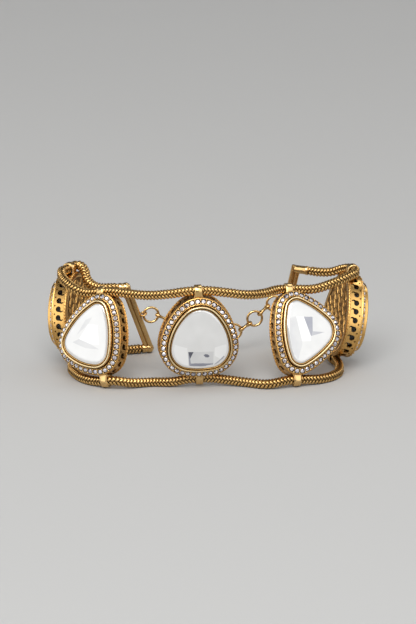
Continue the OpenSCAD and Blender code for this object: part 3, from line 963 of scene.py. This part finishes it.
def trim_setting(name):
    """The rope border at the back edge and the prong beads of the halo."""
    setting = Setting(name)
    sizes = values().setting
    row = on_halo(STONE_ROW)[0]
    count = round(setting.outline.girth(row) / STONE_PITCH)
    inner, outer = CHANNEL_IN, CHANNEL_IN + CHANNEL_W
    seats = ((inner + 0.1, 1.0), (outer - 0.1, 1.0), (inner + 0.46, 0.62), (outer - 0.46, 0.62))
    prongs = []
    for k in range(count):
        t = setting.outline.angle_at(k / count, row)
        for along, size in seats:
            offset, w = on_halo(along, 0.03)
            prongs.append(Matrix.Translation(setting.at(t, offset, w)) @ Matrix.Scale(size, 4))
    halo = copied(f"halo_seats_{name}", bead(sizes.prong_radius), prongs)
    smooth(halo, angle=50)
    dress(halo, bpy.data.materials["rim_gold"], "antique_gold")
    rope = rope_border(setting, f"rope_border_{name}", offset=0.0, w=-4.2, radius=sizes.rope_radius / MM)
    smooth(rope, angle=60)
    dress(rope, bpy.data.materials["pierced_gold"], "antique_gold")


class KUNDAN_OT_pierced_settings(bpy.types.Operator):
    """Builds the pierced box settings with their bezels and back plates"""

    bl_idname = "kundan.pierced_settings"
    bl_label = "Pierced settings"

    def execute(self, context):
        for name in SETTINGS:
            build_setting(name)
        return {"FINISHED"}


class KUNDAN_OT_setting_trims(bpy.types.Operator):
    """Adds the rope borders and the prong beads"""

    bl_idname = "kundan.setting_trims"
    bl_label = "Borders and prongs"

    def execute(self, context):
        for name in SETTINGS:
            trim_setting(name)
        return {"FINISHED"}


# Straps over the chains

STRAP_T = 0.4
STRAP_R = 1.6
STRAP_LEG = 1.75
STRAP_SECTION = (
    (-0.5, -0.5), (0.5, -0.5), (0.5, 0.0), (0.46, 0.3), (0.36, 0.5), (-0.36, 0.5), (-0.46, 0.3), (-0.5, 0.0),
)


def strap(setting, side):
    """A flat strap bent over a chain, flared where its front leg meets the halo."""
    path = [(-STRAP_LEG, -STRAP_R, 2.5), (-0.9, -STRAP_R, 2.3), (-0.3, -STRAP_R, 2.15)]
    path += [(STRAP_R * cos(t), STRAP_R * sin(t), 2.1) for t in range(-90, 91, 15)]
    path += [(-0.3, STRAP_R, 2.15), (-0.8, STRAP_R, 2.25), (-1.25, STRAP_R, 2.55), (-STRAP_LEG, STRAP_R, 3.0)]
    rings = []
    for k, (v, w, width) in enumerate(path):
        before = Vector(path[max(k - 1, 0)][:2])
        after = Vector(path[min(k + 1, len(path) - 1)][:2])
        ahead = (after - before).normalized()
        away = Vector((ahead.y, -ahead.x))
        ring = []
        for a, b in STRAP_SECTION:
            p = Vector((v, w)) + away * b * STRAP_T
            ring.append(setting.place(a * width, side * (setting.reach / 2 + p.x), CHAIN_DEPTH + p.y))
        rings.append(ring)
    return lofted(f"strap_{setting.name}_{side}", rings)


class KUNDAN_OT_chain_straps(bpy.types.Operator):
    """Bends the straps that hold the chains over them"""

    bl_idname = "kundan.chain_straps"
    bl_label = "Chain straps"

    def execute(self, context):
        for name in SETTINGS:
            setting = Setting(name)
            piece = joined(f"chain_straps_{name}", [strap(setting, 1), strap(setting, -1)])
            smooth(piece, angle=40)
            dress(piece, bpy.data.materials["strap_gold"], "polished_gold")
        return {"FINISHED"}


# Stones

# Facets of the foiled stones, in millimetres across and up from the strap line's middle, and their
# brightness, a painted reflection
FACETS = {
    "centre": [
        (1.0, [(-8.6, -0.6), (-3.8, -2.2), (-3.5, -9.6), (-8.4, -8.4)]),
        (1.0, [(3.9, -2.6), (9.0, -1.2), (8.4, -7.6), (3.9, -5.0)]),
        (0.12, [(-3.5, -3.4), (-2.0, -3.45), (-3.0, -5.4)]),
        (0.50, [(-3.5, -3.4), (-3.0, -5.4), (-2.8, -6.8), (-3.3, -8.05)]),
        (0.42, [(-2.8, -6.8), (3.4, -7.1), (3.35, -7.4), (-1.9, -8.1), (-3.3, -8.05)]),
        (0.76, [(-2.0, -3.45), (3.6, -3.7), (3.4, -7.1), (-2.8, -6.8), (-3.0, -5.4)]),
        (0.24, [(0.75, -4.55), (1.3, -4.25), (2.0, -4.4), (2.5, -4.95), (2.0, -5.3), (1.3, -5.2)]),
        (0.60, [(3.7, -7.4), (6.5, -5.0), (6.8, -5.3), (3.9, -7.8)]),
        (0.66, [(4.3, -8.0), (7.0, -5.6), (7.3, -5.9), (4.5, -8.4)]),
    ],
    "left_front": [
        (1.0, [(-2.5, 3.6), (0.5, 3.2), (0.6, -2.3), (-2.0, -2.0), (-5.6, -0.4)]),
        (0.76, [(0.7, 6.0), (-2.5, 3.6), (-5.6, -0.4), (-7.8, -1.2), (-3.3, 4.8)]),
        (0.74, [(-5.6, -0.4), (-2.0, -2.0), (0.5, -3.5), (-3.7, -3.0), (-7.8, -1.2)]),
    ],
    "right_front": [
        (0.54, [(2.4, 4.4), (5.0, 4.2), (4.7, 0.2), (4.0, -1.2)]),
        (0.62, [(4.7, 0.2), (8.2, -0.3), (4.0, -1.2)]),
        (0.80, [(5.0, 4.2), (8.0, 3.6), (8.2, -0.3), (4.7, 0.2)]),
        (1.0, [(0.2, 4.6), (2.4, 4.4), (4.0, -1.2), (3.8, -2.6), (1.3, -2.5)]),
        (0.74, [(-2.0, 4.1), (0.2, 4.6), (1.3, -2.5), (1.2, -3.6), (-0.4, -7.7), (-2.4, -3.5)]),
    ],
    "left_side": [
        (0.55, [(-4.0, -3.0), (-1.0, -2.6), (-2.0, -7.4)]),
        (0.80, [(-1.0, -2.6), (4.6, -1.2), (3.0, -7.2), (-2.0, -7.4)]),
    ],
    "right_side": [
        (0.55, [(1.0, -2.8), (4.2, -2.6), (2.4, -7.2)]),
        (0.80, [(-4.6, -1.4), (1.0, -2.8), (2.4, -7.2), (-3.0, -7.0)]),
    ],
}
# Each stone's painted reflection tone outside its facets
PLAIN_REFLECTION_TONE = {
    "centre": 0.87, "left_front": 0.84, "right_front": 0.81, "left_side": 0.9, "right_side": 0.9,
}
# A stone's edge and table: how far in from the bezel, and height
STONE_PROFILE = (
    (-0.05, 0.6), (-0.02, 1.3), (-0.04, 1.72), (-0.16, 1.9),
    (-0.4, 2.03), (-0.8, 2.1), (-1.3, 2.14), (-1.7, 2.15),
)
TABLE_HEIGHT = 2.1


def in_polygon(x, y, corners):
    """Whether a point lies inside a convex outline."""
    signs = []
    for (ax, ay), (bx, by) in zip(corners, corners[1:] + corners[:1]):
        signs.append((bx - ax) * (y - ay) - (by - ay) * (x - ax))
    return all(s > 0 for s in signs) or all(s < 0 for s in signs)


def height_of(point, setting):
    """How far a point in metres stands out of a setting's face plane, in millimetres."""
    return (point / MM - setting.origin).dot(setting.out)


def cut_facets(piece, setting, facets):
    """Bisects the table along each facet's edges, then marks each face with its facet's brightness, a painted
    reflection.
    """
    only(piece)
    bpy.ops.object.mode_set(mode="EDIT")
    for tone, corners in facets:
        for (ax, ay), (bx, by) in zip(corners, corners[1:] + corners[:1]):
            mesh = bmesh.from_edit_mesh(piece.data)
            for face in mesh.faces:
                face.select_set(False)
                if height_of(face.calc_center_median(), setting) > TABLE_HEIGHT:
                    face.select_set(True)
            mesh.select_flush(True)
            bmesh.update_edit_mesh(piece.data)
            side = (setting.across * (by - ay) - setting.up * (bx - ax)).normalized()
            bpy.ops.mesh.bisect(plane_co=setting.place(ax, ay, 0), plane_no=side, use_fill=False)
    bpy.ops.object.mode_set(mode="OBJECT")
    layer = piece.data.attributes.new("facet", "FLOAT", "CORNER")
    for face in piece.data.polygons:
        middle = face.center / MM - setting.origin
        x, y = middle.dot(setting.across), middle.dot(setting.up)
        tone = PLAIN_REFLECTION_TONE[setting.name]
        if height_of(face.center, setting) > TABLE_HEIGHT:
            for painted_reflection_tone, corners in facets:
                if in_polygon(x, y, corners):
                    tone = painted_reflection_tone
        for corner in face.loop_indices:
            layer.data[corner].value = tone


class KUNDAN_OT_polki_stones(bpy.types.Operator):
    """Cuts the five flat foiled stones with their domed edges and faint facets, whose tones are painted
    reflections
    """

    bl_idname = "kundan.polki_stones"
    bl_label = "Polki stones"

    def execute(self, context):
        section = [(BEZEL_IN + inset, w, 0.0) for inset, w in STONE_PROFILE]
        for name in SETTINGS:
            setting = Setting(name)
            piece = swept(setting, f"foiled_stone_{name}", section, steps=120)
            cut_facets(piece, setting, FACETS[name])
            smooth(piece, angle=25)
            dress(piece, bpy.data.materials["foiled_glass"], "polki_glass", "polki_stone_" + name)
        return {"FINISHED"}


class KUNDAN_OT_halo_brilliants(bpy.types.Operator):
    """Gives the rings of small brilliants their cut-stone finish"""

    bl_idname = "kundan.halo_brilliants"
    bl_label = "Halo brilliants"

    def execute(self, context):
        for name in SETTINGS:
            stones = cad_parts["halo_stones_" + name]
            stones.data.materials.clear()
            stones.data.materials.append(bpy.data.materials["cut_brilliants"])
        return {"FINISHED"}


# End bars

# Columns: top, bottom, upper and lower chain ends, how far down the eye is, and the side that it is on
END_BARS = {
    "left_end_bar": ((-21.9, 19.6, 22.9), (-15.7, 29.6, 1.5), UPPER_ROUTE[0], LOWER_ROUTE[0], 0.455, 1),
    "right_end_bar": ((27.3, 31.6, 25.0), (22.4, 33.4, 1.5), UPPER_ROUTE[-1], LOWER_ROUTE[-1], 0.43, -1),
}
BAR_HALF = 0.62
BAR_R = 0.75
KNUCKLE_R = 1.45
FERRULE_R = 1.2
EYE_R = 0.85
EYE_WIRE_R = 0.28
EYE_SINK = 0.1
# How far the right bar's tubes run past their top, where they are cut square with no knuckle
RUN_ON = 1.1


def turned(name, start, end, profile, sides):
    """A round piece on a line: the profile gives how far along it is, in millimetres, and the radius."""
    axis = (end - start).normalized()
    side = axis.cross(Vector((0, 1, 0)) if abs(axis.y) < 0.9 else Vector((1, 0, 0))).normalized()
    top = axis.cross(side)
    return lofted(name, [circle(start + axis * along, side, top, radius, sides) for along, radius in profile])


def wire_ring(name, middle, axis, radius, wire, opening=0.0, sides=12, steps=48):
    """A ring of wire. With an opening, in degrees, its two ends nearly meet."""
    side = axis.cross(Vector((0, 0, 1)) if abs(axis.z) < 0.9 else Vector((1, 0, 0))).normalized()
    top = axis.cross(side)
    rings = []
    last = steps if opening else steps - 1
    for k in range(last + 1):
        turn = opening / 2 + (360 - opening) * k / steps
        out = cos(turn) * side + sin(turn) * top
        rings.append(circle(middle + out * radius, out, axis, wire, sides))
    return lofted(name, rings, closed=not opening)


def bar_frame(row):
    top, bottom, upper_end, lower_end, share, side_sign = row
    top, bottom = Vector(top) - LOOP_MIDDLE, Vector(bottom) - LOOP_MIDDLE
    axis = (bottom - top).normalized()
    side = (Vector((1, 0, 0)) - axis * axis.x).normalized()
    eye = top + (bottom - top) * share + side * side_sign * (BAR_HALF + BAR_R + EYE_R - EYE_SINK)
    return top, bottom, axis, side, eye


def end_bar(name, row):
    """Two tubes side by side, a rounded knuckle at each end, a ferrule for each chain, and the eye.
    The right bar's tubes are cut square at the top and have no knuckle there."""
    top, bottom, axis, side, eye = bar_frame(row)
    length = (bottom - top).length
    run_on = RUN_ON if name == "right_end_bar" else 0.0
    tube = [(-run_on, BAR_R - 0.1), (0.1 - run_on, BAR_R), (length, BAR_R)]
    parts = []
    for sign in (-1, 1):
        shift = side * sign * BAR_HALF
        parts.append(turned(name + "_tube", top + shift, bottom + shift, tube, sides=36))
    for end, chain_end in ((top, row[2]), (bottom, row[3])):
        chain_end = Vector(chain_end) - LOOP_MIDDLE
        if end != top or not run_on:
            start_fresh()
            bpy.ops.mesh.primitive_uv_sphere_add(
                segments=32, ring_count=20, radius=KNUCKLE_R * MM, location=end * MM)
            bpy.ops.object.transform_apply(location=True, rotation=False, scale=False)
            parts.append(bpy.context.object)
        run = (chain_end - end).length - 0.1
        ferrule = [
            (0, FERRULE_R), (run - 1.0, FERRULE_R), (run - 0.95, FERRULE_R + 0.1),
            (run - 0.22, FERRULE_R + 0.1), (run - 0.1, FERRULE_R), (run, FERRULE_R - 0.15),
        ]
        parts.append(turned(name + "_ferrule", end, chain_end, ferrule, sides=32))
    parts.append(wire_ring(name + "_eye", eye, axis, EYE_R, EYE_WIRE_R))
    return joined(name.replace("end_bar", "bar_tubes"), parts)


class KUNDAN_OT_end_bars(bpy.types.Operator):
    """Builds the two end bars of soldered tubes"""

    bl_idname = "kundan.end_bars"
    bl_label = "End bars"

    def execute(self, context):
        for name, row in END_BARS.items():
            piece = end_bar(name, row)
            smooth(piece, angle=40)
            dress(piece, bpy.data.materials["strap_gold"], "polished_gold", name)
        return {"FINISHED"}


# Extension chain

RING_R = 2.25
RING_WIRE_R = 0.36
RING_INSET = 0.05
RING_OPENING = 1.6
LINK_L = 2.8
CLASP_L = 7.45
# Bodies between two eyes: how far along, width and height
LINK_WAIST = ((0.75, 1.4, 0.74), (1.0, 1.2, 0.74), (1.4, 1.0, 0.78), (1.8, 1.2, 0.74), (2.05, 1.4, 0.74))
CLASP_WAIST = (
    (0.75, 1.0, 0.7), (1.1, 1.7, 0.9), (1.7, 2.15, 1.0), (3.0, 2.2, 1.0), (3.1, 2.05, 0.88),
    (3.25, 2.05, 0.88), (3.35, 2.2, 1.0), (5.2, 2.1, 1.0), (6.2, 1.6, 0.9), (6.7, 1.0, 0.7),
)
WAIST_SIDES = 16
LINK_EYE_IN = 0.6
LINK_EYE_OUT = 0.98
LINK_EYE_HALF = 0.4
# Columns: piece, length, rise in degrees, from the left bar's eye to the right one's
EXTENSION = [
    ("left_ring_1", 2 * RING_R, -9.9), ("left_link_1", LINK_L, -29.2), ("left_ring_2", 2 * RING_R, -34),
    ("left_link_2", LINK_L, -29.2), ("left_ring_3", 2 * RING_R, -17.8), ("clasp", CLASP_L, -2.1),
    ("right_ring_1", 2 * RING_R, 15.1), ("right_link_1", LINK_L, 32.3), ("right_ring_2", 2 * RING_R, 43),
    ("right_link_2", LINK_L, 41.9), ("right_ring_3", 2 * RING_R, 22.8),
]


def extension_places():
    """Where each piece of the extension chain starts, the way it runs, and the way across it."""
    start = bar_frame(END_BARS["left_end_bar"])[4]
    end = bar_frame(END_BARS["right_end_bar"])[4]
    level = Vector((end.x - start.x, end.y - start.y, 0)).normalized()
    places = {}
    at = start.copy()
    for name, length, rise in EXTENSION:
        run = level * cos(rise) + Vector((0, 0, 1)) * sin(rise)
        places[name] = (at.copy(), run, Vector((0, 0, 1)).cross(level), length)
        at += run * length
    return places


def eye_ring(name, middle, axis):
    """A flat eye at the end of a link: a rounded band round a hole."""
    inner, outer, half = LINK_EYE_IN, LINK_EYE_OUT, LINK_EYE_HALF
    section = [
        (inner + 0.1, -half), (outer - 0.1, -half), (outer, -half + 0.12), (outer, half - 0.12),
        (outer - 0.1, half), (inner + 0.1, half), (inner, half - 0.12), (inner, -half + 0.12),
    ]
    side = axis.cross(Vector((0, 1, 0))).normalized()
    top = axis.cross(side)
    rings = [circle(middle + axis * height, side, top, radius, sides=32) for radius, height in section]
    return lofted(name, rings, closed=True)


def waist(name, at, run, across, stations):
    """The body between two eyes: a rounded bar whose width and height vary along it."""
    up = run.cross(across)
    rings = []
    for along, width, height in stations:
        middle = at + run * along
        ring = []
        for k in range(WAIST_SIDES):
            turn = 360 * (k + 0.5) / WAIST_SIDES
            round_x = math.copysign(abs(cos(turn)) ** 0.6, cos(turn)) * width / 2
            round_y = math.copysign(abs(sin(turn)) ** 0.6, sin(turn)) * height / 2
            ring.append((middle + across * round_x + up * round_y) * MM)
        rings.append(ring)
    return lofted(name, rings)


def two_eyed(name, place, stations):
    at, run, across, length = place
    up = run.cross(across).normalized()
    parts = [eye_ring(name + "_eye", at, up), eye_ring(name + "_eye", at + run * length, up)]
    parts.append(waist(name + "_waist", at, run, across, stations))
    return joined(name + "_two_eyed", parts)


class KUNDAN_OT_extension_chain(bpy.types.Operator):
    """Builds the open rings, the pinched links and the clasp of the extension chain"""

    bl_idname = "kundan.extension_chain"
    bl_label = "Extension chain"

    def execute(self, context):
        for name, place in extension_places().items():
            if "ring" in name:
                at, run, across, length = place
                piece = wire_ring(
                    name + "_wire", at + run * RING_R, across, RING_R - RING_INSET, RING_WIRE_R,
                    opening=RING_OPENING, sides=16, steps=72)
            else:
                piece = two_eyed(name, place, LINK_WAIST if "link" in name else CLASP_WAIST)
            smooth(piece, angle=40)
            dress(piece, bpy.data.materials["strap_gold"], "polished_gold", name)
        return {"FINISHED"}


# Studio

FLOOR_SIZE = 6.0
LENS = 120
SENSOR = 36
LOOK_AT = Vector((0.06, -14.07, 21.5)) * MM
DIM_ROOM = 0.11


def soft_light(name, place, width, height, power):
    """A rectangle of light that faces the bracelet."""
    light = bpy.data.lights.new(name, "AREA")
    light.shape = "RECTANGLE"
    light.size = width
    light.size_y = height
    light.energy = power
    lamp = bpy.data.objects.new(name, light)
    lamp.location = place
    lamp.rotation_euler = (-Vector(place)).to_track_quat("-Z", "Y").to_euler()
    bpy.context.scene.collection.objects.link(lamp)


# Soft boxes that the metal and the stones mirror: the way to each, how wide its core and its edge are
# (as cosines) and how bright it is
SOFT_BOXES = [
    ((-0.84, -0.50, 0.20), 0.975, 0.78, 1.4),
    ((0.64, -0.62, 0.47), 0.975, 0.78, 1.4),
    ((-0.30, -0.45, 0.84), 0.985, 0.93, 3.2),
    ((0.35, 0.35, 0.87), 0.99, 0.95, 2.2),
    ((0.80, 0.45, 0.40), 0.985, 0.95, 1.8),
    ((-0.85, 0.35, 0.40), 0.985, 0.95, 1.8),
]


def light_the_room(tree):
    """Even light for the floor. What shines mirrors a dim room with soft boxes in it."""
    place = node(tree, "ShaderNodeTexCoord").outputs["Generated"]
    room = DIM_ROOM
    for way, core, edge, strength in SOFT_BOXES:
        facing = node(tree, "ShaderNodeVectorMath", operation="DOT_PRODUCT")
        plug(tree, facing.inputs[0], place)
        plug(tree, facing.inputs[1], Vector(way).normalized())
        spread = node(tree, "ShaderNodeMapRange", interpolation_type="SMOOTHSTEP")
        own = {"Value": facing.outputs["Value"], "From Min": edge, "From Max": core, "To Max": strength}
        for key, value in own.items():
            plug(tree, spread.inputs[key], value)
        room = math_node(tree, "ADD", spread.outputs["Result"], room)
    path = node(tree, "ShaderNodeLightPath")
    blend = node(tree, "ShaderNodeMix", data_type="FLOAT")
    for key, value in ((0, path.outputs["Is Glossy Ray"]), (2, values().studio.room_light), (3, room)):
        plug(tree, blend.inputs[key], value)
    plug(tree, tree.nodes["Background"].inputs["Strength"], blend.outputs[0])
    plug(tree, tree.nodes["Background"].inputs["Color"], (1, 1, 1, 1))


class KUNDAN_OT_studio(bpy.types.Operator):
    """Lays the pale floor and sets the soft lights and the camera"""

    bl_idname = "kundan.studio"
    bl_label = "Studio"

    def execute(self, context):
        studio = values().studio
        start_fresh()
        bpy.ops.mesh.primitive_plane_add(size=FLOOR_SIZE, location=(0, FLOOR_SIZE / 4, 0))
        floor = bpy.context.object
        floor.name = "studio_floor"
        floor.data.materials.append(bpy.data.materials["pale_floor"])
        back = Vector((0, -math.cos(studio.pitch), math.sin(studio.pitch)))
        camera_data = bpy.data.cameras.new("photo_camera")
        camera_data.lens = LENS
        camera_data.sensor_width = SENSOR
        camera_data.clip_start = 0.05
        camera_data.clip_end = 8
        camera = bpy.data.objects.new("photo_camera", camera_data)
        camera.location = LOOK_AT + back * studio.distance
        camera.rotation_euler = (math.pi / 2 - studio.pitch, 0, 0)
        context.scene.collection.objects.link(camera)
        context.scene.camera = camera
        soft_light("front_softbox", (-0.1, -0.75, 0.85), width=0.8, height=0.6, power=studio.key_power)
        world = bpy.data.worlds.new("soft_grey")
        world.use_nodes = True
        light_the_room(world.node_tree)
        context.scene.world = world
        context.scene.view_settings.view_transform = "Standard"
        return {"FINISHED"}


class BraceletValues(bpy.types.PropertyGroup):
    """All the sizes and colours of the bracelet."""

    finish: PointerProperty(type=FinishValues)
    weave: PointerProperty(type=WeaveValues)
    setting: PointerProperty(type=SettingValues)
    studio: PointerProperty(type=StudioValues)


class KUNDAN_PT_workbench(bpy.types.Panel):
    """Lists the sizes, the colours and the steps in the order that they are run"""

    bl_idname = "KUNDAN_PT_workbench"
    bl_label = "Kundan bracelet"
    bl_space_type = "VIEW_3D"
    bl_region_type = "UI"
    bl_category = "Bracelet"

    def draw(self, context):
        settings = context.scene.kundan_bracelet
        for title, group in (("Finish", settings.finish), ("Weave", settings.weave),
                             ("Settings", settings.setting), ("Studio", settings.studio)):
            box = self.layout.box()
            box.label(text=title)
            for key in group.__annotations__:
                box.prop(group, key)
        for step in STEPS:
            self.layout.operator(step.bl_idname)


STEPS = (
    KUNDAN_OT_studio,
    KUNDAN_OT_woven_chains,
    KUNDAN_OT_pierced_settings,
    KUNDAN_OT_setting_trims,
    KUNDAN_OT_chain_straps,
    KUNDAN_OT_polki_stones,
    KUNDAN_OT_halo_brilliants,
    KUNDAN_OT_end_bars,
    KUNDAN_OT_extension_chain,
)
CLASSES = (
    FinishValues, WeaveValues, SettingValues, StudioValues, BraceletValues, *STEPS, KUNDAN_PT_workbench,
)


def register():
    for cls in CLASSES:
        bpy.utils.register_class(cls)
    bpy.types.Scene.kundan_bracelet = PointerProperty(type=BraceletValues)


def unregister():
    del bpy.types.Scene.kundan_bracelet
    for cls in reversed(CLASSES):
        bpy.utils.unregister_class(cls)


def main():
    """Builds the whole bracelet over its frame."""
    register()
    make_materials()
    bpy.ops.kundan.studio()
    bpy.ops.kundan.woven_chains()
    bpy.ops.kundan.pierced_settings()
    bpy.ops.kundan.setting_trims()
    bpy.ops.kundan.chain_straps()
    bpy.ops.kundan.polki_stones()
    bpy.ops.kundan.halo_brilliants()
    bpy.ops.kundan.end_bars()
    bpy.ops.kundan.extension_chain()
    start_fresh()


if __name__ == "__main__":
    main()
